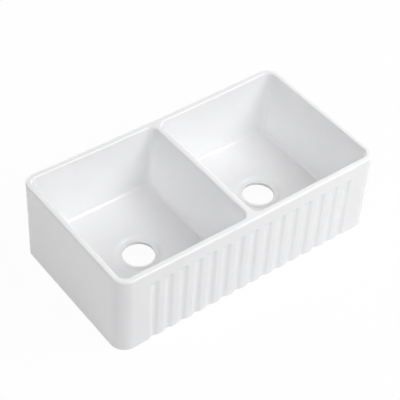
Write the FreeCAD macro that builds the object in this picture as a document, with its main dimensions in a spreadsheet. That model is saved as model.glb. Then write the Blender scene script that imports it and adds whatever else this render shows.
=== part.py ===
# Double bowl kitchen sink with a fluted apron front, cast in one in fireclay.
#
# Frame: millimetres, +Z up, origin in the middle of the base, +X to the user's right, the
# fluted apron faces -Y.  The casting is drawn once.  Each member of it (apron, walls,
# divider, floors, drain seats) is the part of the casting over that member's own plan, so
# the members meet face to face and keep doing so when a size changes.

import FreeCAD, Part
import math
import os
import Sketcher

NAMED_SIZES = {
    # outside
    "width": 838.0,
    "depth": 457.0,
    "height": 254.0,
    "outer_corner_radius": 42.0,
    "outer_edge_radius": 6.0,
    "base_edge_radius": 3.0,
    "rim_dip": 6.0,
    # widths of the rim, and how far each face below it leans in at the floor
    "end_rim": 18.0,
    "front_rim": 18.0,
    "rear_rim": 18.0,
    "divider_rim": 18.0,
    "rim_flat": 1.0,
    "inner_edge_radius": 6.0,
    "side_lean": 24.0,
    "front_lean": 16.0,
    "rear_lean": 16.0,
    # bowls
    "bowl_depth": 198.0,
    "bowl_corner_radius": 22.0,
    "cove_radius": 12.0,
    # drains
    "sump_margin": 10.0,
    "sump_fall": 4.0,
    "dish_radius": 62.0,
    "dish_slope": 7.0,
    "dish_depth": 5.5,
    "dish_edge_radius": 3.5,
    "drain_radius": 44.5,
    "drain_forward": 5.0,
    "seat_thickness": 9.0,
    "seat_margin": 12.0,
    # underside
    "base_rim": 36.0,
    "rib_width": 44.0,
    "recess_corner_radius": 20.0,
    # flutes on the apron
    "flute_count": 15,
    "flute_width": 23.0,
    "flute_depth": 4.2,
    "flute_end_margin": 92.5,
    "flute_top_margin": 48.0,
    "flute_edge_radius": 3.0,
    # allowances for drawing
    "seam_setback": 4.0,
    "overrun": 5.0,
}
TOUCH = 0.01


class Size:
    """A length that carries both its number and the sheet expression that gives it."""

    def __init__(self, text, value):
        self.text = text
        self.value = value

    def joined(self, sign, other, value):
        return Size(f"({self.text} {sign} {other.text})", value)

    def __add__(self, other):
        other = as_size(other)
        return self.joined("+", other, self.value + other.value)

    def __sub__(self, other):
        other = as_size(other)
        return self.joined("-", other, self.value - other.value)

    def __mul__(self, other):
        other = as_size(other)
        return self.joined("*", other, self.value * other.value)

    def __truediv__(self, other):
        other = as_size(other)
        return self.joined("/", other, self.value / other.value)

    def __neg__(self):
        return ZERO - self


def as_size(number):
    return number if isinstance(number, Size) else Size(str(number), number)


def least(*sizes):
    texts = "; ".join(size.text for size in sizes)
    return Size(f"min({texts})", min(size.value for size in sizes))


ZERO = Size("0", 0.0)


def fill_sheet(doc):
    """Put the driving dimensions in the sheet and return them as Sizes by name."""
    sheet = doc.addObject("Spreadsheet::Sheet", "Sizes")
    for row, (name, number) in enumerate(NAMED_SIZES.items(), start=1):
        sheet.set(f"A{row}", name)
        sheet.set(f"B{row}", str(number))
        sheet.setAlias(f"B{row}", name)
    doc.recompute()
    return {name: Size(f"Sizes.{name}", number) for name, number in NAMED_SIZES.items()}


class Layout:
    """Lines and levels of the sink, worked out from the named sizes."""

    def __init__(self, named):
        self.named = named
        self.half_width = named["width"] / 2
        self.half_depth = named["depth"] / 2
        self.rim_z = named["height"]
        self.floor_z = named["height"] - named["bowl_depth"]
        # opening of the right bowl at the rim; the left bowl mirrors it
        self.bowl_near_x = named["divider_rim"] / 2
        self.bowl_far_x = self.half_width - named["end_rim"]
        self.bowl_front_y = named["front_rim"] - self.half_depth
        self.bowl_rear_y = self.half_depth - named["rear_rim"]
        # foot of the same bowl, at its floor
        self.foot_near_x = self.bowl_near_x + named["side_lean"]
        self.foot_far_x = self.bowl_far_x - named["side_lean"]
        self.foot_front_y = self.bowl_front_y + named["front_lean"]
        self.foot_rear_y = self.bowl_rear_y - named["rear_lean"]
        # seams between floor and walls lie on the flat of the floor, past the cove
        inset = named["cove_radius"] + named["seam_setback"]
        self.seam_near_x = self.foot_near_x + inset
        self.seam_far_x = self.foot_far_x - inset
        self.seam_front_y = self.foot_front_y + inset
        self.seam_rear_y = self.foot_rear_y - inset
        # a seam runs this far outward at 45 degrees to be clear of the casting
        self.reach = self.half_width - self.seam_far_x + self.half_depth - self.seam_rear_y
        # drain
        self.drain_x = (self.foot_near_x + self.foot_far_x) / 2
        self.drain_y = (self.foot_front_y + self.foot_rear_y) / 2 - named["drain_forward"]
        nearest_wall = least(
            self.foot_far_x - self.drain_x,
            self.drain_y - self.foot_front_y,
            self.foot_rear_y - self.drain_y,
        )
        self.sump_radius = nearest_wall - named["cove_radius"] - named["sump_margin"]
        self.seat_edge = named["dish_radius"] + named["seat_margin"]
        self.dish_foot = named["dish_radius"] - named["dish_slope"]
        self.dish_top_z = self.floor_z - named["sump_fall"]
        self.seat_z = self.dish_top_z - named["dish_depth"]
        self.recess_z = self.seat_z - named["seat_thickness"]
        # rim roundings, limited by the narrowest rim that they lie on
        narrowest_rim = least(named["end_rim"], named["front_rim"], named["rear_rim"])
        room = narrowest_rim - named["inner_edge_radius"] - named["rim_flat"]
        self.outer_edge = least(named["outer_edge_radius"], room)
        divider_room = (named["divider_rim"] - named["rim_flat"]) / 2
        self.inner_edge = least(named["inner_edge_radius"], divider_room)
        # flutes
        both_margins = named["flute_end_margin"] * 2
        self.flute_span = named["width"] - both_margins - named["flute_width"]
        self.flute_top_z = named["height"] - named["flute_top_margin"]


# ---- sketches ----------------------------------------------------------------------


class Run:
    """One side of an outline: where it starts, and its radius if it is an arc."""

    def __init__(self, x, y, radius=None, clockwise=False):
        self.x = as_size(x)
        self.y = as_size(y)
        self.radius = radius
        self.clockwise = clockwise

    def start(self):
        return FreeCAD.Vector(self.x.value, self.y.value, 0)


def curve_between(run, following):
    """The line or arc from one run's start to the next one's."""
    start = run.start()
    end = following.start()
    if run.radius is None:
        return Part.LineSegment(start, end)
    chord = end - start
    leftward = FreeCAD.Vector(-chord.y, chord.x, 0).normalize()
    side = -1 if run.clockwise else 1
    rise = math.sqrt(run.radius.value ** 2 - (chord.Length / 2) ** 2)
    centre = start + chord / 2 + leftward * rise * side
    circle = Part.Circle(centre, FreeCAD.Vector(0, 0, 1), run.radius.value)
    first, last = (end, start) if run.clockwise else (start, end)
    return Part.ArcOfCircle(circle, circle.parameter(first), circle.parameter(last))


def hold(sketch, kind, size, *places):
    index = sketch.addConstraint(Sketcher.Constraint(kind, *places, size.value))
    sketch.setExpression(f"Constraints[{index}]", size.text)


def draw_outline(sketch, runs):
    """A closed outline with every corner and radius bound to the sheet."""
    added = []
    for i, run in enumerate(runs):
        following = runs[(i + 1) % len(runs)]
        curve = sketch.addGeometry(curve_between(run, following), False)
        ends = (2, 1) if run.clockwise else (1, 2)
        added.append((curve, *ends))
    for i, run in enumerate(runs):
        curve, start, end = added[i]
        next_curve, next_start, next_end = added[(i + 1) % len(added)]
        joint = Sketcher.Constraint("Coincident", curve, end, next_curve, next_start)
        sketch.addConstraint(joint)
        hold(sketch, "DistanceX", run.x, -1, 1, curve, start)
        hold(sketch, "DistanceY", run.y, -1, 1, curve, start)
        if run.radius is not None:
            hold(sketch, "Radius", run.radius, curve)


def rounded_box(left, right, low, high, radius):
    """The runs of a rectangle with round corners."""
    return [
        Run(left + radius, low),
        Run(right - radius, low, radius),
        Run(right, low + radius),
        Run(right, high - radius, radius),
        Run(right - radius, high),
        Run(left + radius, high, radius),
        Run(left, high - radius),
        Run(left, low + radius, radius),
    ]


def origin_part(body, role):
    return next(part for part in body.Origin.OriginFeatures if part.Role == role)


def sketch_in(body, name, role, runs, offset=(ZERO, ZERO, ZERO)):
    """A sketch on one of the body's own origin planes, moved by offset in that plane."""
    sketch = body.newObject("Sketcher::SketchObject", name)
    sketch.AttachmentSupport = [(origin_part(body, role), "")]
    sketch.MapMode = "FlatFace"
    for axis, size in zip("xyz", offset):
        sketch.setExpression(f"AttachmentOffset.Base.{axis}", size.text)
    draw_outline(sketch, runs)
    return sketch


# ---- the casting -------------------------------------------------------------------


def cut_checked(doc, body, feature, name):
    """Recompute and make sure that a cutting feature took something away."""
    before = body.Shape.Volume
    body.Tip = feature
    doc.recompute()
    if body.Shape.isNull() or body.Shape.Volume >= before - TOUCH:
        raise RuntimeError(f"{name} cuts nothing")


def mirror_over(doc, body, feature, name):
    """Repeat a feature on the other side of the middle plane."""
    mirrored = body.newObject("PartDesign::Mirrored", name)
    mirrored.Originals = [feature]
    mirrored.MirrorPlane = (origin_part(body, "YZ_Plane"), [""])
    cut_checked(doc, body, mirrored, name)


def round_edges(doc, body, name, radius, wanted):
    """Fillet the edges of the body that the test wanted picks out."""
    base = body.Tip
    edges = base.Shape.Edges
    picked = [f"Edge{i}" for i, edge in enumerate(edges, start=1) if wanted(edge)]
    if not picked:
        raise RuntimeError(f"{name} finds no edge")
    fillet = body.newObject("PartDesign::Fillet", name)
    fillet.Base = (base, picked)
    fillet.setExpression("Radius", radius.text)
    body.Tip = fillet
    doc.recompute()
    if "Invalid" in fillet.State:
        raise RuntimeError(f"{name} could not be rounded")


def near(first, second):
    return abs(first - second) < TOUCH


def level_at(edge, z):
    box = edge.BoundBox
    return near(box.ZMin, z) and near(box.ZMax, z)


def upright_at(edge, y):
    box = edge.BoundBox
    return near(box.XMin, box.XMax) and near(box.YMin, y) and near(box.YMax, y)


def make_block(doc, body, lay):
    """The outer block: its top sags a little between the ends, as fired."""
    named = lay.named
    half = lay.half_width
    dip = named["rim_dip"]
    bow = (half * half + dip * dip) / (dip * 2)
    profile = sketch_in(body, "block_profile", "XZ_Plane", [
        Run(-half, 0),
        Run(half, 0),
        Run(half, lay.rim_z, bow, clockwise=True),
        Run(-half, lay.rim_z),
    ])
    block = body.newObject("PartDesign::Pad", "block")
    block.Profile = profile
    block.Midplane = True
    block.setExpression("Length", named["depth"].text)
    body.Tip = block
    doc.recompute()
    round_edges(doc, body, "outer_corners", named["outer_corner_radius"],
                lambda edge: upright_at(edge, edge.BoundBox.YMin)
                and near(abs(edge.BoundBox.XMin), half.value))
    lowest_rim = lay.rim_z.value - dip.value - TOUCH
    round_edges(doc, body, "outer_rim_edge", lay.outer_edge,
                lambda edge: edge.BoundBox.ZMin > lowest_rim)
    round_edges(doc, body, "base_edge", named["base_edge_radius"],
                lambda edge: level_at(edge, 0))


def cut_bowls(doc, body, lay):
    """Two bowls whose walls lean in towards the floor, with a cove at their foot."""
    named = lay.named
    corner = named["bowl_corner_radius"]
    opening = sketch_in(body, "bowl_opening", "XY_Plane", rounded_box(
        lay.bowl_near_x, lay.bowl_far_x, lay.bowl_front_y, lay.bowl_rear_y, corner,
    ), (ZERO, ZERO, lay.rim_z))
    foot = sketch_in(body, "bowl_foot", "XY_Plane", rounded_box(
        lay.foot_near_x, lay.foot_far_x, lay.foot_front_y, lay.foot_rear_y, corner,
    ), (ZERO, ZERO, lay.floor_z))
    bowl = body.newObject("PartDesign::SubtractiveLoft", "right_bowl")
    bowl.Profile = opening
    bowl.Sections = [foot]
    bowl.Ruled = True
    cut_checked(doc, body, bowl, "right_bowl")
    mirror_over(doc, body, bowl, "left_bowl")
    round_edges(doc, body, "coves", named["cove_radius"],
                lambda edge: level_at(edge, lay.floor_z.value))

    def on_inner_rim(edge):
        box = edge.BoundBox
        above = box.ZMin > lay.rim_z.value - named["rim_dip"].value - TOUCH
        across = max(-box.XMin, box.XMax) < lay.bowl_far_x.value + TOUCH
        behind = box.YMin > lay.bowl_front_y.value - TOUCH
        before = box.YMax < lay.bowl_rear_y.value + TOUCH
        return above and across and behind and before

    round_edges(doc, body, "inner_rim_edge", lay.inner_edge, on_inner_rim)


def cut_drains(doc, body, lay):
    """A shallow fall to a dished seat, and the round hole through it, in each floor."""
    named = lay.named
    profile = sketch_in(body, "drain_profile", "XZ_Plane", [
        Run(0, lay.recess_z - named["overrun"]),
        Run(named["drain_radius"], lay.recess_z - named["overrun"]),
        Run(named["drain_radius"], lay.seat_z),
        Run(lay.dish_foot, lay.seat_z),
        Run(named["dish_radius"], lay.dish_top_z),
        Run(lay.sump_radius, lay.floor_z),
        Run(lay.sump_radius, lay.floor_z + named["overrun"]),
        Run(0, lay.floor_z + named["overrun"]),
    ], (lay.drain_x, ZERO, -lay.drain_y))
    drain = body.newObject("PartDesign::Groove", "right_drain")
    drain.Profile = profile
    drain.ReferenceAxis = (profile, ["V_Axis"])
    drain.Angle = 360
    cut_checked(doc, body, drain, "right_drain")
    mirror_over(doc, body, drain, "left_drain")
    rings = ((named["dish_radius"], lay.dish_top_z), (lay.dish_foot, lay.seat_z))

    def on_dish(edge):
        round_edge = isinstance(edge.Curve, Part.Circle)
        return round_edge and any(
            near(edge.Curve.Radius, radius.value) and level_at(edge, level.value)
            for radius, level in rings
        )

    round_edges(doc, body, "dish_edges", named["dish_edge_radius"], on_dish)


def cut_underside(doc, body, lay):
    """The hollow below each floor, which leaves a rim and a middle rib to stand on."""
    named = lay.named
    outline = sketch_in(body, "recess_outline", "XY_Plane", rounded_box(
        named["rib_width"] / 2,
        lay.half_width - named["base_rim"],
        named["base_rim"] - lay.half_depth,
        lay.half_depth - named["base_rim"],
        named["recess_corner_radius"],
    ))
    recess = body.newObject("PartDesign::Pocket", "right_recess")
    recess.Profile = outline
    recess.Reversed = True
    recess.setExpression("Length", lay.recess_z.text)
    cut_checked(doc, body, recess, "right_recess")
    mirror_over(doc, body, recess, "left_recess")


def cut_flutes(doc, body, lay):
    """Upright flutes in the apron, evenly spaced, open at the base."""
    named = lay.named
    half = named["flute_width"] / 2
    depth = named["flute_depth"]
    hollow = (half * half + depth * depth) / (depth * 2)
    front = -lay.half_depth
    outline = sketch_in(body, "flute_outline", "XY_Plane", [
        Run(-half, front, hollow, clockwise=True),
        Run(half, front),
        Run(half, front - named["overrun"]),
        Run(-half, front - named["overrun"]),
    ], (-(lay.flute_span / 2), ZERO, ZERO))
    flute = body.newObject("PartDesign::Pocket", "flute")
    flute.Profile = outline
    flute.Reversed = True
    flute.setExpression("Length", lay.flute_top_z.text)
    cut_checked(doc, body, flute, "flute")
    row = body.newObject("PartDesign::LinearPattern", "flute_row")
    row.Originals = [flute]
    row.Direction = (outline, ["H_Axis"])
    row.setExpression("Length", lay.flute_span.text)
    row.setExpression("Occurrences", named["flute_count"].text)
    cut_checked(doc, body, row, "flute_row")
    outermost = lay.flute_span.value / 2 + half.value + TOUCH
    round_edges(doc, body, "flute_edges", named["flute_edge_radius"],
                lambda edge: upright_at(edge, front.value)
                and abs(edge.BoundBox.XMin) < outermost)


def make_casting(doc, lay):
    body = doc.addObject("PartDesign::Body", "casting")
    make_block(doc, body, lay)
    cut_bowls(doc, body, lay)
    cut_drains(doc, body, lay)
    cut_underside(doc, body, lay)
    cut_flutes(doc, body, lay)
    return body


# ---- the members -------------------------------------------------------------------


def member(doc, name, casting, lay, corners, hole=None):
    """The part of the casting over a plan with straight sides, less a round hole."""
    plan = doc.addObject("Sketcher::SketchObject", f"{name}_plan")
    draw_outline(plan, [Run(x, y) for x, y in corners])
    if hole:
        centre_x, centre_y, radius = hole
        middle = FreeCAD.Vector(centre_x.value, centre_y.value, 0)
        upward = FreeCAD.Vector(0, 0, 1)
        ring = plan.addGeometry(Part.Circle(middle, upward, radius.value), False)
        hold(plan, "DistanceX", centre_x, -1, 1, ring, 3)
        hold(plan, "DistanceY", centre_y, -1, 1, ring, 3)
        hold(plan, "Radius", radius, ring)
    plan.setExpression("Placement.Base.z", (-lay.named["overrun"]).text)
    column = doc.addObject("Part::Extrusion", f"{name}_column")
    column.Base = plan
    column.DirMode = "Normal"
    column.Solid = True
    column.setExpression("LengthFwd", (lay.rim_z + lay.named["overrun"] * 2).text)
    piece = doc.addObject("Part::Common", name)
    piece.Base = casting
    piece.Tool = column
    piece.Label = name
    return piece


def corner_out(lay, x, y, side, end):
    """A seam corner, and the point where the seam through it has left the casting."""
    return (x, y), (x + lay.reach * side, y + lay.reach * end)


def make_members(doc, casting, lay):
    far, near_x = lay.seam_far_x, lay.seam_near_x
    front, rear = lay.seam_front_y, lay.seam_rear_y
    front_right, front_right_out = corner_out(lay, far, front, 1, -1)
    rear_right, rear_right_out = corner_out(lay, far, rear, 1, 1)
    front_left, front_left_out = corner_out(lay, -far, front, -1, -1)
    rear_left, rear_left_out = corner_out(lay, -far, rear, -1, 1)
    # the divider stops at the apron's and the rear wall's inner faces, with cut corners
    front_cut = near_x - (front - lay.bowl_front_y)
    rear_cut = near_x - (lay.bowl_rear_y - rear)
    pieces = [
        member(doc, "front_apron", casting, lay, [
            front_left, front_left_out, front_right_out, front_right,
            (near_x, front), (front_cut, lay.bowl_front_y),
            (-front_cut, lay.bowl_front_y), (-near_x, front),
        ]),
        member(doc, "rear_wall", casting, lay, [
            rear_right, rear_right_out, rear_left_out, rear_left,
            (-near_x, rear), (-rear_cut, lay.bowl_rear_y),
            (rear_cut, lay.bowl_rear_y), (near_x, rear),
        ]),
        member(doc, "left_end_wall", casting, lay, [
            front_left, rear_left, rear_left_out, front_left_out,
        ]),
        member(doc, "right_end_wall", casting, lay, [
            front_right, front_right_out, rear_right_out, rear_right,
        ]),
        member(doc, "centre_divider", casting, lay, [
            (-front_cut, lay.bowl_front_y), (front_cut, lay.bowl_front_y),
            (near_x, front), (near_x, rear),
            (rear_cut, lay.bowl_rear_y), (-rear_cut, lay.bowl_rear_y),
            (-near_x, rear), (-near_x, front),
        ]),
    ]
    for side_name, side in (("left", -1), ("right", 1)):
        drain_x = lay.drain_x * side
        inner, outer = (near_x, far) if side > 0 else (-far, -near_x)
        pieces.append(member(doc, f"{side_name}_bowl_floor", casting, lay, [
            (inner, front), (outer, front), (outer, rear), (inner, rear),
        ], (drain_x, lay.drain_y, lay.seat_edge)))
        pieces.append(make_drain_seat(doc, f"{side_name}_drain_seat", casting, lay, drain_x))
    return pieces


def make_drain_seat(doc, name, casting, lay, drain_x):
    """The dished ring round a drain hole that a strainer's flange sits in."""
    column = doc.addObject("Part::Cylinder", f"{name}_column")
    column.setExpression("Radius", lay.seat_edge.text)
    column.setExpression("Height", lay.rim_z.text)
    column.setExpression("Placement.Base.x", drain_x.text)
    column.setExpression("Placement.Base.y", lay.drain_y.text)
    piece = doc.addObject("Part::Common", name)
    piece.Base = casting
    piece.Tool = column
    piece.Label = name
    return piece


def check_and_write(doc, pieces):
    for item in doc.Objects:
        if "Invalid" in item.State or "Error" in item.State:
            raise RuntimeError(f"{item.Name} failed: {item.State}")
    for piece in pieces:
        shape = piece.Shape
        if shape.isNull() or not shape.isValid() or len(shape.Solids) != 1:
            raise RuntimeError(f"{piece.Label} is not one valid solid")
    os.makedirs("parts", exist_ok=True)
    for piece in pieces:
        piece.Shape.exportStep(f"parts/{piece.Label}.step")
        print(f"{piece.Label}: {piece.Shape.Volume / 1e6:.3f} litres")


def main():
    doc = FreeCAD.newDocument("apron_sink")
    lay = Layout(fill_sheet(doc))
    casting = make_casting(doc, lay)
    pieces = make_members(doc, casting, lay)
    doc.recompute()
    check_and_write(doc, pieces)
    whole = casting.Shape.Volume
    members = sum(piece.Shape.Volume for piece in pieces)
    print(f"casting {whole / 1e6:.3f} litres, members {members / 1e6:.3f} litres")
    low, high = casting.Shape.BoundBox.ZMin, casting.Shape.BoundBox.ZMax
    print(f"height from {low:.2f} to {high:.2f}")


main()
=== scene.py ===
"""A farmhouse apron front sink in glazed fireclay, on a plain pale floor."""
import math

import bpy
import numpy as np
from mathutils import Matrix


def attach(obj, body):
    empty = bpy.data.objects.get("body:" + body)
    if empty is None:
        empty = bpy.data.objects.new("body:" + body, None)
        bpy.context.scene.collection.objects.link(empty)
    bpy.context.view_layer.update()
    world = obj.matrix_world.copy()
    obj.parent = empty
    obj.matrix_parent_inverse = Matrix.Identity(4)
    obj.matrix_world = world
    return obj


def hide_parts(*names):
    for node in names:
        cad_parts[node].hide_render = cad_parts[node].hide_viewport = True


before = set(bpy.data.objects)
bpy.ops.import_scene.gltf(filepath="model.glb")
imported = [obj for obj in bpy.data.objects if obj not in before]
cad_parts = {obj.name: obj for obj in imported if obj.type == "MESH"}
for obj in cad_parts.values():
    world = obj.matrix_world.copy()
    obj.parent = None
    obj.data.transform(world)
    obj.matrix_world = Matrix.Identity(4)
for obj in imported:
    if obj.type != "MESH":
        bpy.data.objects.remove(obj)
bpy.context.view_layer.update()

# ---- sizes of the casting, in millimetres ------------------------------------------

HALF_WIDTH, HALF_DEPTH, HEIGHT = 419.0, 228.5, 254.0
RIM_DIP, DIP_FROM_Z, DIP_WHOLE_Z = 6.0, 70, 200
OUTER_CORNER, OUTER_EDGE, BASE_EDGE = 42.0, 6.0, 3.0
FRONT_BOW, REAR_BOW, WAVE_DEPTH = 2.0, 0.6, 0.35

MOUTH_NEAR, MOUTH_FAR, MOUTH_REAR = 9.0, 401.0, 210.5
FLOOR_Z, BOWL_DEPTH = 56.0, 198.0
SIDE_LEAN, END_LEAN = 16.0, 24.0
BOWL_CORNER, INNER_EDGE, COVE = 22.0, 6.0, 12.0

SEAM_NEAR, SEAM_FAR, SEAM_REAR = 49.0, 361.0, 178.5
DRAIN_X, DRAIN_Y = 205.0, -5.0
SUMP_RADIUS, SUMP_FALL = 165.0, 4.0
DISH_RADIUS, DISH_FOOT, SEAT_EDGE, DRAIN_RADIUS = 63.5, 53.0, 74.0, 44.5
DISH_TOP_Z, SEAT_Z, CEILING_Z = 52.0, 46.5, 37.5
DISH_BEND, DRAIN_EDGE_TOP, DRAIN_EDGE_UNDER = 20.0, 1.6, 1.0

RECESS_NEAR, RECESS_FAR, RECESS_REAR, RECESS_CORNER = 22.0, 383.0, 192.5, 20.0
RECESS_TOP_EDGE, RECESS_FOOT_EDGE = 7.0, 2.0

FLUTE_PITCH, FLUTE_LAST = 45.0, 7
FLUTE_HALF, FLUTE_DEPTH, FLUTE_LIP = 11.5, 4.2, 18.0
FLUTE_TOP, FLUTE_RISE = 212.0, 8.0


def between(start, end, share):
    return start + (end - start) * share


def eased(start, end, value):
    """0 below start, 1 above end, and a smooth climb in between."""
    share = np.clip((value - start) / (end - start), 0, 1)
    return share * share * (3 - 2 * share)


# ---- stations: the places round a bowl where every course has a point ---------------

# The sides run front, end, rear, divider, anticlockwise from above. Each has half a
# corner, a straight and half the next corner, and starts at the mitre between pieces.
FRONT, END, REAR, DIVIDER = range(4)
HALF_FLUTE_STEPS = (0, 2.2, 4.4, 6.5, 8.4, 10.1, 11.8, 13.5, 15.2, 16.8)
JOIN_X = FLUTE_PITCH - HALF_FLUTE_STEPS[-1]
STEM = 3


def apron_steps():
    """Distances from the middle of the apron at which it has a station."""
    steps = [*HALF_FLUTE_STEPS, FLUTE_PITCH / 2]
    for flute in range(1, FLUTE_LAST + 1):
        middle = flute * FLUTE_PITCH
        steps += [middle - step for step in reversed(HALF_FLUTE_STEPS[1:])]
        steps += [middle + step for step in HALF_FLUTE_STEPS]
        if flute < FLUTE_LAST:
            steps.append(middle + FLUTE_PITCH / 2)
    margin_start, margin_end = steps[-1], HALF_WIDTH - OUTER_CORNER
    return steps + [between(margin_start, margin_end, k / 4) for k in (1, 2, 3)]


def lay_out_stations():
    """(side, part of the side, share of that part) for every station."""
    steps = apron_steps()
    straight = HALF_WIDTH - OUTER_CORNER - JOIN_X
    on_apron = [(x - JOIN_X) / straight for x in steps if x > JOIN_X - 0.01]
    front_corner = len(steps) - len(on_apron) + STEM
    plain = [k / 24 for k in range(24)]
    counts = {
        FRONT: (front_corner, on_apron, 12),
        END: (12, plain, 12),
        REAR: (12, plain, STEM * 2),
        DIVIDER: (10, plain, 10),
    }
    rows = []
    for side, (first, middle, last) in counts.items():
        rows += [(side, 0, k / first) for k in range(first)]
        rows += [(side, 1, share) for share in middle]
        rows += [(side, 2, k / last) for k in range(last)]
    return np.array(rows)


STATIONS = lay_out_stations()
SIDE, PART, SHARE = STATIONS[:, 0].astype(int), STATIONS[:, 1].astype(int), STATIONS[:, 2]
COUNT = len(STATIONS)
SEAM_CORNERS = ((SEAM_NEAR, -SEAM_REAR), (SEAM_FAR, -SEAM_REAR),
                (SEAM_FAR, SEAM_REAR), (SEAM_NEAR, SEAM_REAR))
OUTWARD = ((-1, -1), (1, -1), (1, 1), (-1, 1))
CORNER_RUN = 14.0


def at(side, part):
    return (SIDE == side) & (PART == part)


def mitre_angle(corner, centre, radius):
    """Where the mitre through a seam corner meets the arc of a round corner."""
    start = np.array(SEAM_CORNERS[corner])
    along = np.array(OUTWARD[corner]) / math.sqrt(2)
    offset = start - centre
    run = offset @ along
    reach = np.sqrt(run ** 2 - (offset ** 2).sum(1) + radius ** 2) - run
    met = offset + reach[:, None] * along
    turn = np.arctan2(met[:, 1], met[:, 0])
    quarter = math.pi + corner * math.pi / 2
    return quarter + (turn - quarter) % (2 * math.pi)


def rounded_ring(near, far, front, rear, radius):
    """A rectangle with round corners at the stations, and the way that it faces."""
    sizes = [np.broadcast_to(size, COUNT) for size in (near, far, front, rear, radius)]
    near, far, front, rear, radius = sizes
    points, facing = np.empty((COUNT, 2)), np.empty(COUNT)

    def centre_of(corner, here):
        x = near + radius if corner in (0, 3) else far - radius
        y = front + radius if corner in (0, 1) else rear - radius
        return np.stack([x, y], 1)[here]

    def on_arc(corner, here, turn):
        spoke = np.stack([np.cos(turn), np.sin(turn)], 1)
        return centre_of(corner, here) + radius[here][:, None] * spoke

    for side in range(4):
        square = math.pi * 1.5 + side * math.pi / 2
        for part, corner in ((0, side), (2, (side + 1) % 4)):
            here = at(side, part)
            mitre = mitre_angle(corner, centre_of(corner, here), radius[here])
            if corner < side:
                mitre = mitre + 2 * math.pi
            ends = (mitre, square) if part == 0 else (square, mitre)
            facing[here] = between(*ends, SHARE[here])
            points[here] = on_arc(corner, here, facing[here])
        here = at(side, 1)
        facing[here] = square
        start = on_arc(side, here, facing[here])
        end = on_arc((side + 1) % 4, here, facing[here])
        points[here] = between(start, end, SHARE[here][:, None])
    return points, facing


def square_ring(spread):
    """The seam rectangle grown by spread, with stations spread along its corners."""
    points = np.empty((COUNT, 2))
    for side in range(4):
        start, end = (np.array(SEAM_CORNERS[k % 4]) + spread * np.array(OUTWARD[k % 4])
                      for k in (side, side + 1))
        step = (end - start) / np.abs(end - start).max() * CORNER_RUN
        ends = ((start, start + step), (start + step, end - step), (end - step, end))
        for part, (first, last) in enumerate(ends):
            here = at(side, part)
            points[here] = between(first, last, SHARE[here][:, None])
    return points


def outline(inset):
    """The outside of the right half, with its fourth side on the sink's middle line."""
    front = inset - HALF_DEPTH
    points, _ = rounded_ring(0, HALF_WIDTH - inset, front, -front, OUTER_CORNER - inset)
    stop = HALF_WIDTH - OUTER_CORNER
    here = at(FRONT, 0)
    steps = apron_steps()[:here.sum() - STEM]
    stem = [(0, between(-MOUTH_REAR, front, k / STEM)) for k in range(STEM)]
    points[here] = stem + [(x, front) for x in steps]
    here = at(FRONT, 1)
    points[here] = np.stack([between(JOIN_X, stop, SHARE[here]), SHARE[here] * 0 + front], 1)
    here = at(REAR, 1)
    points[here] = np.stack([between(stop, JOIN_X, SHARE[here]), SHARE[here] * 0 - front], 1)
    shares = [k / STEM for k in range(STEM)]
    run_in = [(JOIN_X * (1 - share), -front) for share in shares]
    points[at(REAR, 2)] = run_in + [(0, between(-front, MOUTH_REAR, share)) for share in shares]
    straight = MOUTH_REAR - BOWL_CORNER
    for part, first, last in ((0, MOUTH_REAR, straight), (1, straight, -straight),
                              (2, -straight, -MOUTH_REAR)):
        here = at(DIVIDER, part)
        points[here] = np.stack([SHARE[here] * 0, between(first, last, SHARE[here])], 1)
    return points


# ---- courses: closed lines from the rim down into the bowl and back to the outside --

MOUTH, MOUTH_FACING = rounded_ring(MOUTH_NEAR, MOUTH_FAR, -MOUTH_REAR, MOUTH_REAR, BOWL_CORNER)
ENDWAYS = np.cos(MOUTH_FACING) ** 2


def dip_at(x):
    """How far the rim has sagged below the height of its ends, as fired."""
    return RIM_DIP * (1 - (x / HALF_WIDTH) ** 2)


def sagged(x, z):
    """The upper part of the casting sinks with the rim; the lower part stays."""
    return z - dip_at(x) * eased(DIP_FROM_Z, DIP_WHOLE_Z, z)


def fluted(x, z):
    """How deep the flutes are cut into the apron at this place."""
    flute = np.clip(np.round(x / FLUTE_PITCH), -FLUTE_LAST, FLUTE_LAST)
    rise = np.maximum(z - (FLUTE_TOP - FLUTE_RISE), 0) / FLUTE_RISE
    hollow = (FLUTE_HALF ** 2 + FLUTE_DEPTH ** 2) / (FLUTE_DEPTH * 2)
    behind = hollow - FLUTE_DEPTH
    lip_middle = math.sqrt((hollow + FLUTE_LIP) ** 2 - (behind + FLUTE_LIP) ** 2)
    lip_start = lip_middle * hollow / (hollow + FLUTE_LIP)
    across = np.abs(x - flute * FLUTE_PITCH)
    out = ((across / lip_middle) ** 3 + rise ** 3) ** (1 / 3) * lip_middle
    bowl = np.sqrt(np.maximum(hollow ** 2 - out ** 2, 0)) - behind
    lip = FLUTE_LIP - np.sqrt(np.maximum(FLUTE_LIP ** 2 - (lip_middle - out) ** 2, 0))
    return np.where(out < lip_start, bowl, np.where(out < lip_middle, lip, 0))


def raised(points, z):
    return np.column_stack([points, np.broadcast_to(z, COUNT)])


def outer_course(inset, z):
    points = outline(inset)
    course = raised(points, sagged(points[:, 0], z))
    on_front = at(FRONT, 0) | at(FRONT, 1)
    on_front[:STEM] = False
    course[on_front, 1] += fluted(points[on_front, 0], z)
    return course


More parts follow.
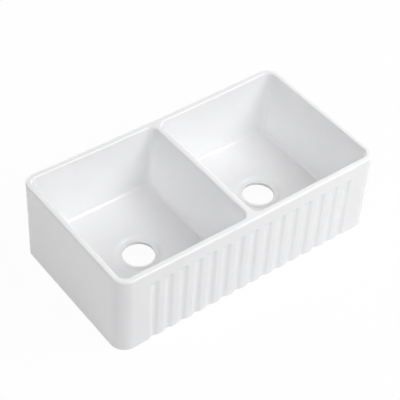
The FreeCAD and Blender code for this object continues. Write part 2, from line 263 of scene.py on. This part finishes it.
def bowl_course(level_of):
    """level_of(lean, slope) gives how far in a wall of that lean is, and its height."""
    insets, levels, spreads = [], [], []
    for lean in (END_LEAN, SIDE_LEAN):
        slope = math.atan(lean / BOWL_DEPTH)
        inset, z = level_of(lean / BOWL_DEPTH, slope)
        insets.append(inset)
        levels.append(z)
        spreads.append((HEIGHT - z) * lean / BOWL_DEPTH - inset)
    x_in, y_in = insets
    radius = BOWL_CORNER + (spreads[0] + spreads[1]) / 2
    points, _ = rounded_ring(MOUTH_NEAR + x_in, MOUTH_FAR - x_in,
                             y_in - MOUTH_REAR, MOUTH_REAR - y_in, radius)
    return raised(points, between(levels[1], levels[0], ENDWAYS))


def rim_levels(share):
    height = HEIGHT - dip_at(MOUTH[:, 0])

    def level_of(lean, slope):
        turn = share * (math.pi / 2 - slope)
        centre = lean * (HEIGHT - height + INNER_EDGE) - INNER_EDGE / math.cos(slope)
        return (centre + INNER_EDGE * math.sin(turn),
                height - INNER_EDGE * (1 - math.cos(turn)))
    return level_of


def wall_levels(share):
    height = HEIGHT - dip_at(MOUTH[:, 0])

    def level_of(lean, slope):
        top = height - INNER_EDGE * (1 - math.sin(slope))
        bottom = FLOOR_Z + COVE * (1 - math.sin(slope))
        z = between(top, bottom, share)
        return lean * (HEIGHT - z), z
    return level_of


def cove_levels(share):
    def level_of(lean, slope):
        turn = (1 - share) * (math.pi / 2 - slope)
        centre = lean * (BOWL_DEPTH - COVE) + COVE / math.cos(slope)
        return (centre - COVE * math.sin(turn) + MOUTH[:, 0] * 0,
                FLOOR_Z + COVE * (1 - math.cos(turn)) + MOUTH[:, 0] * 0)
    return level_of


SEAM = square_ring(0)
FROM_DRAIN = SEAM - (DRAIN_X, DRAIN_Y)
SEAM_REACH = np.hypot(*FROM_DRAIN.T)
SPOKES = FROM_DRAIN / SEAM_REACH[:, None]
FLOOR_RINGS = (148, 139, 129, 118, 107, 96, 85)


def sump_z(reach):
    """The floor falls gently to the dish, more and more steeply."""
    share = np.clip((SUMP_RADIUS - reach) / (SUMP_RADIUS - DISH_RADIUS), 0, 1)
    return FLOOR_Z - SUMP_FALL * share ** 1.5


def turned_course(reach, z):
    return raised((DRAIN_X, DRAIN_Y) + SPOKES * np.reshape(reach, (-1, 1)), z)


def rounded_profile(corners, radii, steps):
    """A profile through corners, each rounded by its radius in so many steps."""
    corners = np.array(corners, float)
    profile = []
    for before, here, after, radius in zip(corners, corners[1:], corners[2:], radii):
        back, on = before - here, after - here
        back, on = back / np.hypot(*back), on / np.hypot(*on)
        half = math.acos(back @ on) / 2
        middle = here + (back + on) / np.hypot(*(back + on)) * radius / math.sin(half)
        first = here + back * radius / math.tan(half) - middle
        last = here + on * radius / math.tan(half) - middle
        turn = math.acos(np.clip(first @ last / radius ** 2, -1, 1))
        for k in range(steps + 1):
            share = k / steps
            spoke = first * math.sin((1 - share) * turn) + last * math.sin(share * turn)
            profile.append(middle + spoke / math.sin(turn))
    return profile


def bowl_courses():
    """Every closed course of the right half in order, and the ones where pieces meet."""
    courses, seams = [outer_course(OUTER_EDGE, HEIGHT)], {}
    courses += [bowl_course(rim_levels(k / 8)) for k in range(9)]
    courses += [bowl_course(wall_levels(k / 9)) for k in range(1, 9)]
    courses += [bowl_course(cove_levels(k / 10)) for k in range(11)]

    seams["floor_top"] = len(courses)
    courses.append(raised(SEAM, sump_z(SEAM_REACH)))
    for share in (0.3, 0.6):
        reach = between(SEAM_REACH, FLOOR_RINGS[0], share)
        courses.append(turned_course(reach, sump_z(reach)))
    for reach in FLOOR_RINGS:
        courses.append(turned_course(reach, sump_z(reach)))
    seams["seat_top"] = len(courses)
    courses.append(turned_course(SEAT_EDGE, sump_z(SEAT_EDGE)))
    profile = rounded_profile(
        [(SEAT_EDGE, sump_z(SEAT_EDGE)), (DISH_RADIUS, DISH_TOP_Z), (DISH_FOOT, SEAT_Z),
         (DRAIN_RADIUS, SEAT_Z), (DRAIN_RADIUS, CEILING_Z), (SEAT_EDGE, CEILING_Z)],
        (DISH_BEND, DISH_BEND, DRAIN_EDGE_TOP, DRAIN_EDGE_UNDER), 6)
    courses += [turned_course(reach, z) for reach, z in profile]

    # the hollow underside
    courses.append(turned_course(60, CEILING_Z))
    seams["seat_under"] = len(courses)
    courses.append(turned_course(SEAT_EDGE, CEILING_Z))
    courses.append(turned_course(between(SEAT_EDGE, SEAM_REACH, 0.5), CEILING_Z))
    seams["floor_under"] = len(courses)
    courses.append(raised(SEAM, CEILING_Z))
    for k in range(5):
        turn = k / 4 * math.pi / 2
        courses.append(recess_course(RECESS_TOP_EDGE * (1 - math.sin(turn)),
                                     CEILING_Z - RECESS_TOP_EDGE * (1 - math.cos(turn))))
    for k in range(4):
        turn = k / 3 * math.pi / 2
        courses.append(recess_course(-RECESS_FOOT_EDGE * (1 - math.cos(turn)),
                                     RECESS_FOOT_EDGE * (1 - math.sin(turn))))
    courses.append(raised(square_ring(MOUTH_REAR - SEAM_REAR), 0))
    courses.append(outer_course(BASE_EDGE, 0))
    return np.array(courses), seams


def recess_course(inset, z):
    points, _ = rounded_ring(RECESS_NEAR + inset, RECESS_FAR - inset, inset - RECESS_REAR,
                             RECESS_REAR - inset, RECESS_CORNER - inset)
    return raised(points, z)


# close together where the flutes end, so that their round tops are smooth
OUTER_LEVELS = (234, 226, 219, 214.5, 213, 212, 211, 210, 209, 208, 207, 206, 205, 204,
                202, 198, 188, 172, 152, 130, 108, 86, 66, 46, 28, 14, 6)


def outside_courses():
    """The courses of the outer face, between the rim's and the base's own."""
    courses = []
    for k in range(1, 9):
        turn = k / 8 * math.pi / 2
        inset = OUTER_EDGE * (1 - math.sin(turn))
        courses.append(outer_course(inset, HEIGHT - OUTER_EDGE * (1 - math.cos(turn))))
    courses += [outer_course(0, z) for z in (*OUTER_LEVELS, BASE_EDGE)]
    for k in range(1, 5):
        turn = k / 5 * math.pi / 2
        inset = BASE_EDGE * (1 - math.cos(turn))
        courses.append(outer_course(inset, BASE_EDGE * (1 - math.sin(turn))))
    return np.array(courses)


# ---- the whole skin, divided into pieces --------------------------------------------

WALLS = ("front_apron", "{}_end_wall", "rear_wall", "centre_divider")


class Skin:
    """Points, faces and the piece that each face belongs to, for the whole casting."""

    def __init__(self):
        self.courses, self.seams = bowl_courses()
        self.outside = outside_courses()
        self.points, self.faces, self.owners, self.is_skin = [], [], [], []
        for side, name in ((1, "right"), (-1, "left")):
            self.add_half(side, name)
        self.points = np.array(self.points)
        self.share_middle_points()

    def add_half(self, side, name):
        start = len(self.points)
        flip = np.array([side, 1, 1])
        self.points += list(self.courses.reshape(-1, 3) * flip)
        outside_start = len(self.points)
        self.points += list(self.outside.reshape(-1, 3) * flip)
        last = len(self.courses) - 1

        def closed(course, station):
            return start + course * COUNT + station % COUNT

        def open_line(course, station):
            """Course 0 is the rim's outer line, and the last one the base's."""
            if course == 0:
                return closed(0, station)
            if course == len(self.outside) + 1:
                return closed(last, station)
            return outside_start + (course - 1) * COUNT + station

        def add(owner, corners, skin=True):
            self.faces.append(corners if side > 0 else corners[::-1])
            self.owners.append(owner)
            self.is_skin.append(skin)

        walls = [wall.format(name) for wall in WALLS]
        floor, seat = f"{name}_bowl_floor", f"{name}_drain_seat"
        top, seat_top = self.seams["floor_top"], self.seams["seat_top"]
        seat_under, under = self.seams["seat_under"], self.seams["floor_under"]
        for course in range(last):
            in_floor = top <= course < under
            in_seat = seat_top <= course < seat_under
            for station in range(COUNT):
                owner = seat if in_seat else floor if in_floor else walls[SIDE[station]]
                add(owner, (closed(course, station), closed(course, station + 1),
                            closed(course + 1, station + 1), closed(course + 1, station)))
        first_out, last_out = STEM, np.flatnonzero(at(REAR, 2))[STEM]
        for course in range(len(self.outside) + 1):
            for station in range(first_out, last_out):
                add(walls[SIDE[station]],
                    (open_line(course, station), open_line(course + 1, station),
                     open_line(course + 1, station + 1), open_line(course, station + 1)))

        # inside the casting, where a floor meets its walls and its drain seat
        for inner, outer, upper, lower in ((floor, walls, top, under),
                                           (seat, floor, seat_top, seat_under)):
            for station in range(COUNT):
                joint = (closed(lower, station), closed(lower, station + 1),
                         closed(upper, station + 1), closed(upper, station))
                add(inner, joint, False)
                facing = outer if outer is floor else walls[SIDE[station]]
                add(facing, joint[::-1], False)

        # inside the casting, where two walls meet at a corner
        starts = [int(np.flatnonzero(SIDE == wall)[0]) for wall in range(4)]
        columns = []
        for station in starts:
            inside = [closed(course, station) for course in range(top, -1, -1)]
            under_side = [closed(course, station) for course in range(last, under - 1, -1)]
            if first_out <= station <= last_out:
                inside += [open_line(course, station)
                           for course in range(1, len(self.outside) + 1)]
            columns.append((inside, under_side))
        for corner, facing in ((END, (side, 1)), (REAR, (-side, 1))):
            inside, under_side = columns[corner]
            self.cap(inside + under_side, walls[corner - 1], walls[corner], facing)
        for corner, wall, ahead in ((FRONT, "front_apron", 1), (DIVIDER, "rear_wall", -1)):
            inside, under_side = columns[corner]
            self.cap(inside[:-1] + under_side[1:], wall, "centre_divider", (-side, ahead))
            if side < 0:
                right_in, right_under = self.right_columns[corner]
                loop = (right_in[-2:] + inside[-2:-1] + under_side[1::-1] + right_under[1:2])
                self.cap(loop, wall, "centre_divider", (0, ahead))
        self.right_columns = columns

    def cap(self, loop, first, second, facing):
        """Closes two pieces with the flat face that they share. facing is first's."""
        places = np.array([self.points[index] for index in loop])
        turn = np.cross(places, np.roll(places, -1, axis=0)).sum(0)
        if turn @ (*facing, 0) < 0:
            loop = loop[::-1]
        for owner, corners in ((first, loop), (second, loop[::-1])):
            self.faces.append(tuple(corners))
            self.owners.append(owner)
            self.is_skin.append(False)

    def share_middle_points(self):
        """The two halves use the same points on the sink's middle line."""
        middle = np.flatnonzero(np.abs(self.points[:, 0]) < 1e-6)
        keys, firsts = {}, np.arange(len(self.points))
        for index in middle:
            key = tuple(np.round(self.points[index], 5))
            firsts[index] = keys.setdefault(key, index)
        self.faces = [tuple(int(firsts[index]) for index in face) for face in self.faces]

    def facings(self):
        """At each point, which way the skin faces; large faces count for more."""
        facing = np.zeros_like(self.points)
        quads = np.array([f for f, skin in zip(self.faces, self.is_skin) if skin])
        a, b, c, d = (self.points[quads[:, k]] for k in range(4))
        normals = np.cross(c - a, d - b)
        for k in range(4):
            np.add.at(facing, quads[:, k], normals)
        length = np.linalg.norm(facing, axis=1, keepdims=True)
        return facing / np.maximum(length, 1e-9)


def bow_and_settle(skin):
    """The front and rear draw in a little in the middle, and the clay is not quite flat."""
    x, y, z = skin.points.T
    middle = 1 - (x / HALF_WIDTH) ** 2
    y = y + FRONT_BOW * middle * eased(SEAM_REAR, MOUTH_REAR, -y)
    y = y - REAR_BOW * middle * eased(SEAM_REAR, MOUTH_REAR, y)
    skin.points = np.stack([x, y, z], 1)
    waves = (np.sin(x / 31 + y / 47 + 0.4) + np.sin(y / 26 - z / 39 + 1.9)
             + np.sin(z / 23 + x / 58 + 3.1) + np.sin(x / 17 - y / 22 + z / 29)) / 8 + 0.5
    from_drain = np.hypot(np.abs(x) - DRAIN_X, y - DRAIN_Y)
    depth = WAVE_DEPTH * waves * eased(70, 110, from_drain) * eased(0, 25, z)
    skin.points = skin.points - skin.facings() * depth[:, None]


def edge_and_cove(skin):
    """Above 0 on edges, where glaze runs thin, and below 0 in coves, where it gathers and where
    the glaze is painted darker as shade.
    """
    facing = skin.facings()
    rise, reach = np.zeros(len(skin.points)), np.zeros(len(skin.points))
    quads = np.array([f for f, is_skin in zip(skin.faces, skin.is_skin) if is_skin])
    middles = skin.points[quads].mean(1)
    for k in range(4):
        step = middles - skin.points[quads[:, k]]
        np.add.at(rise, quads[:, k], (step * facing[quads[:, k]]).sum(1))
        np.add.at(reach, quads[:, k], (step ** 2).sum(1))
    return np.clip(-rise * 2 / np.maximum(reach, 1e-9) * 10, -1, 1)


def bareness(skin):
    """1 where the clay is bare: the foot that it stood on in the kiln and the hollow."""
    z, facing = skin.points[:, 2], skin.facings()
    low = 1 - eased(0.6, 3.0, z)
    x, y = np.abs(skin.points[:, 0]), skin.points[:, 1]
    under = (z < CEILING_Z + 0.3) & (facing[:, 2] < 0.3)
    within = (x > RECESS_NEAR - 3) & (x < RECESS_FAR + 3) & (np.abs(y) < RECESS_REAR + 3)
    return np.maximum(low, (under & within).astype(float))


# ---- shader maths -------------------------------------------------------------------


class Shade:
    """What one socket gives; sums on it add the nodes that work them out."""

    def __init__(self, finish, socket):
        self.finish = finish
        self.socket = socket

    def maths(self, operation, first, second):
        return self.finish.node("ShaderNodeMath", {"operation": operation},
                                {0: first, 1: second})

    def __add__(self, other):
        return self.maths("ADD", self, other)

    def __radd__(self, other):
        return self.maths("ADD", other, self)

    def __sub__(self, other):
        return self.maths("SUBTRACT", self, other)

    def __rsub__(self, other):
        return self.maths("SUBTRACT", other, self)

    def __mul__(self, other):
        return self.maths("MULTIPLY", self, other)

    def __rmul__(self, other):
        return self.maths("MULTIPLY", other, self)

    def at_least(self, other):
        return self.maths("MAXIMUM", self, other)


class Finish:
    """The nodes of a material or world, added by kind, settings and what feeds each."""

    def __init__(self, owner):
        owner.use_nodes = True
        self.owner = owner
        self.tree = owner.node_tree
        self.tree.nodes.clear()

    def node(self, kind, settings=(), sockets=(), output=0):
        made = self.tree.nodes.new(kind)
        for name, value in dict(settings).items():
            setattr(made, name, value)
        for name, value in dict(sockets).items():
            if isinstance(value, Shade):
                self.tree.links.new(value.socket, made.inputs[name])
            else:
                made.inputs[name].default_value = value
        return Shade(self, made.outputs[output]) if made.outputs else None

    def blend(self, share, first, second):
        """A colour between two."""
        return self.node("ShaderNodeMix", {"data_type": "RGBA"},
                         {0: share, 6: first, 7: second}, 2)

    def spread(self, value, low, high):
        """value as 0 at low and 1 at high, with a smooth climb."""
        return self.node("ShaderNodeMapRange", {"interpolation_type": "SMOOTHSTEP"},
                         {"Value": value, "From Min": low, "From Max": high})

    def cloud(self, place, scale, detail=2.0, roughness=0.5):
        return self.node("ShaderNodeTexNoise", {},
                         {"Vector": place, "Scale": scale, "Detail": detail,
                          "Roughness": roughness}, "Fac")

    def surface(self, shader, kind="ShaderNodeOutputMaterial"):
        self.node(kind, {}, {"Surface": shader})
        return self.owner


def make_glazed_fireclay():
    """White glaze over pale clay; bare clay on the foot and in the hollow below."""
    finish = Finish(bpy.data.materials.new("glazed_fireclay"))
    place = finish.node("ShaderNodeTexCoord", {}, {}, "Object")
    edge = finish.node("ShaderNodeAttribute", {"attribute_name": "edge"}, {}, "Fac")
    foot = finish.node("ShaderNodeAttribute", {"attribute_name": "bare"}, {}, "Fac")
    ragged = finish.cloud(place, 90, 3) * 0.5
    bare = finish.spread(foot + ragged, 0.62, 0.78)

    # glaze: a cool white, a touch warmer where thin, and cooler and darker in coves, where it
    # gathers; the darkening there is painted shade
    drift = finish.spread(finish.cloud(place, 5, 2), 0.3, 0.7)
    glaze = finish.blend(drift, (0.912, 0.914, 0.922, 1), (0.926, 0.927, 0.933, 1))
    thin = finish.spread(edge, 0.25, 1.0) * 0.35
    glaze = finish.blend(thin, glaze, (0.93, 0.92, 0.9, 1))
    # painted shade: the glaze is made darker in the coves, on top of the cooler tint of glaze
    # gathered there
    pooled_glaze_and_shade = finish.spread(edge * -1, 0.2, 0.9) * 0.4
    glaze = finish.blend(pooled_glaze_and_shade, glaze, (0.88, 0.89, 0.905, 1))
    specks = finish.spread(finish.cloud(place, 700, 1), 0.80, 0.84)
    glaze = finish.blend(specks * 0.25, glaze, (0.62, 0.58, 0.52, 1))

    # clay: warm and grainy
    grain = finish.cloud(place, 420, 4, 0.7)
    clay = finish.blend(finish.spread(grain, 0.3, 0.75), (0.72, 0.67, 0.59, 1),
                        (0.83, 0.79, 0.72, 1))
    colour = finish.blend(bare, glaze, clay)

    peel = finish.cloud(place, 160, 2)
    gloss = 0.15 + peel * 0.06
    roughness = gloss * (1 - bare) + (0.7 + grain * 0.2) * bare
    relief = peel * (1 - bare) * 0.25 + grain * bare
    bump = finish.node("ShaderNodeBump", {},
                       {"Strength": 0.25, "Distance": 0.0002, "Height": relief}, "Normal")
    skin = finish.node("ShaderNodeBsdfPrincipled", {}, {
        "Base Color": colour, "Roughness": roughness, "Normal": bump, "IOR": 1.52,
        "Coat Weight": (1 - bare) * 0.04, "Coat Roughness": 0.04, "Coat IOR": 1.5,
    })
    return finish.surface(skin)


# ---- pieces --------------------------------------------------------------------------


def make_piece(node, skin, facing, edge, bare, material):
    """The part of the skin that stands for one node, closed inside the casting."""
    mine = [index for index, owner in enumerate(skin.owners) if owner == node]
    used = sorted({point for index in mine for point in skin.faces[index]})
    number = {point: k for k, point in enumerate(used)}
    faces = [tuple(number[point] for point in skin.faces[index]) for index in mine]
    mesh = bpy.data.meshes.new(f"glazed_{node}")
    mesh.from_pydata(skin.points[used] / 1000, [], faces)
    # the inner faces stay flat, so that they don't darken the skin beside them
    mesh.polygons.foreach_set("use_smooth", [skin.is_skin[index] for index in mine])
    for name, values in (("edge", edge), ("bare", bare)):
        layer = mesh.attributes.new(name, "FLOAT", "POINT")
        layer.data.foreach_set("value", values[used].astype(np.float32))
    normals = []
    for index, polygon in zip(mine, mesh.polygons):
        for point in skin.faces[index]:
            normals.append(facing[point] if skin.is_skin[index] else polygon.normal)
    mesh.normals_split_custom_set(np.array(normals, dtype=np.float32))
    mesh.materials.append(material)
    piece = bpy.data.objects.new(f"glazed_{node}", mesh)
    bpy.context.scene.collection.objects.link(piece)
    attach(piece, "root")
    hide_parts(node)
    return piece


# ---- studio --------------------------------------------------------------------------

WHITE = (1, 1, 1, 1)
LAMPS_AIM, LAMPS_DISTANCE = (0, 0, 0.1), 3.4
FLOOR_SIZE, FLOOR_LEVEL, FLOOR_WHITE = 12.0, -0.0005, 0.96


def seen_directly(finish):
    """1 for what the camera sees straight, or in a mirror or through glass."""
    straight, mirrored, through = (
        finish.node("ShaderNodeLightPath", {}, {}, ray)
        for ray in ("Is Camera Ray", "Is Glossy Ray", "Is Transmission Ray"))
    return straight.at_least(mirrored).at_least(through)


def make_floor():
    """A wide pale floor that shows white and keeps a little of the sink's shadow.

    It is clear from below, so that the foot of the sink can be looked at.
    """
    steps = [(x * FLOOR_SIZE, y * FLOOR_SIZE, FLOOR_LEVEL)
             for y in (-1, 0, 1) for x in (-1, 0, 1)]
    quads = [(0, 1, 4, 3), (1, 2, 5, 4), (3, 4, 7, 6), (4, 5, 8, 7)]
    mesh = bpy.data.meshes.new("studio_floor")
    mesh.from_pydata(steps, [], quads)
    finish = Finish(bpy.data.materials.new("studio_floor"))
    pale = finish.node("ShaderNodeBsdfDiffuse", {}, {"Color": (0.86, 0.86, 0.87, 1)})
    white = finish.node("ShaderNodeEmission", {}, {"Color": WHITE, "Strength": 1.0})
    above = finish.node("ShaderNodeMixShader", {},
                        {0: seen_directly(finish) * FLOOR_WHITE, 1: pale, 2: white})
    below = finish.node("ShaderNodeNewGeometry", {}, {}, "Backfacing")
    clear = finish.node("ShaderNodeBsdfTransparent")
    shown = finish.node("ShaderNodeMixShader", {}, {0: below, 1: above, 2: clear})
    mesh.materials.append(finish.surface(shown))
    floor = bpy.data.objects.new("studio_floor", mesh)
    bpy.context.scene.collection.objects.link(floor)


def make_world():
    """White where it is seen. The lamps alone light the sink."""
    finish = Finish(bpy.data.worlds.new("studio"))
    dark = finish.node("ShaderNodeBackground", {}, {"Color": WHITE, "Strength": 0.0})
    white = finish.node("ShaderNodeBackground", {}, {"Color": WHITE, "Strength": 1.0})
    shown = finish.node("ShaderNodeMixShader", {},
                        {0: seen_directly(finish), 1: dark, 2: white})
    bpy.context.scene.world = finish.surface(shown, "ShaderNodeOutputWorld")


def softbox(name, turn, rise, width, height, power):
    """A lamp aimed at the sink, turn degrees round from its front and rise degrees up."""
    turn, rise = math.radians(turn), math.radians(rise)
    middle = np.array(LAMPS_AIM)
    away = np.array((math.sin(turn) * math.cos(rise), -math.cos(turn) * math.cos(rise),
                     math.sin(rise)))
    data = bpy.data.lights.new(name, "AREA")
    data.shape = "RECTANGLE"
    data.size, data.size_y = width, height
    data.energy = power
    lamp = bpy.data.objects.new(name, data)
    lamp.matrix_world = looking(middle + away * LAMPS_DISTANCE, middle)
    lamp.visible_camera = False
    bpy.context.scene.collection.objects.link(lamp)


def looking(place, aim, roll=0.0):
    """A placement at place that looks at aim, turned about that line by roll degrees."""
    place, aim = np.array(place, float), np.array(aim, float)
    back = (place - aim) / np.linalg.norm(place - aim)
    right = np.cross((0, 0, 1), back)
    right = right / np.linalg.norm(right)
    up = np.cross(back, right)
    c, s = math.cos(math.radians(roll)), math.sin(math.radians(roll))
    turned = np.stack([right * c + up * s, up * c - right * s, back, place], 1)
    return Matrix([*turned.tolist(), [0, 0, 0, 1]])


SENSOR_WIDTH = 36.0
PHOTO_PIXELS, FOCAL_PIXELS = 400, 1238.61


def make_camera():
    data = bpy.data.cameras.new("photo_view")
    data.sensor_width = SENSOR_WIDTH
    data.lens = SENSOR_WIDTH * FOCAL_PIXELS / PHOTO_PIXELS
    data.clip_start, data.clip_end = 0.1, 60
    camera = bpy.data.objects.new("photo_view", data)
    camera.matrix_world = looking((-1.53187, -1.82878, 2.45416), (0.0186, 0.0242, 0.1), 3.9)
    bpy.context.scene.collection.objects.link(camera)
    bpy.context.scene.camera = camera


# ---- build ---------------------------------------------------------------------------

sink_skin = Skin()
bow_and_settle(sink_skin)
skin_facing = sink_skin.facings()
skin_edge, skin_bare = edge_and_cove(sink_skin), bareness(sink_skin)
glazed_fireclay = make_glazed_fireclay()
for node in sorted(set(sink_skin.owners)):
    make_piece(node, sink_skin, skin_facing, skin_edge, skin_bare, glazed_fireclay)

make_floor()
make_world()
softbox("key", 36, 46, 2.8, 2.2, 92)
softbox("left", 290, 38, 2.6, 2.2, 39)
softbox("right_low", 108, 25, 2.6, 1.9, 33)
softbox("rear_low", 185, 23, 3.2, 1.9, 46)
make_camera()
bpy.context.scene.view_settings.view_transform = "Standard"
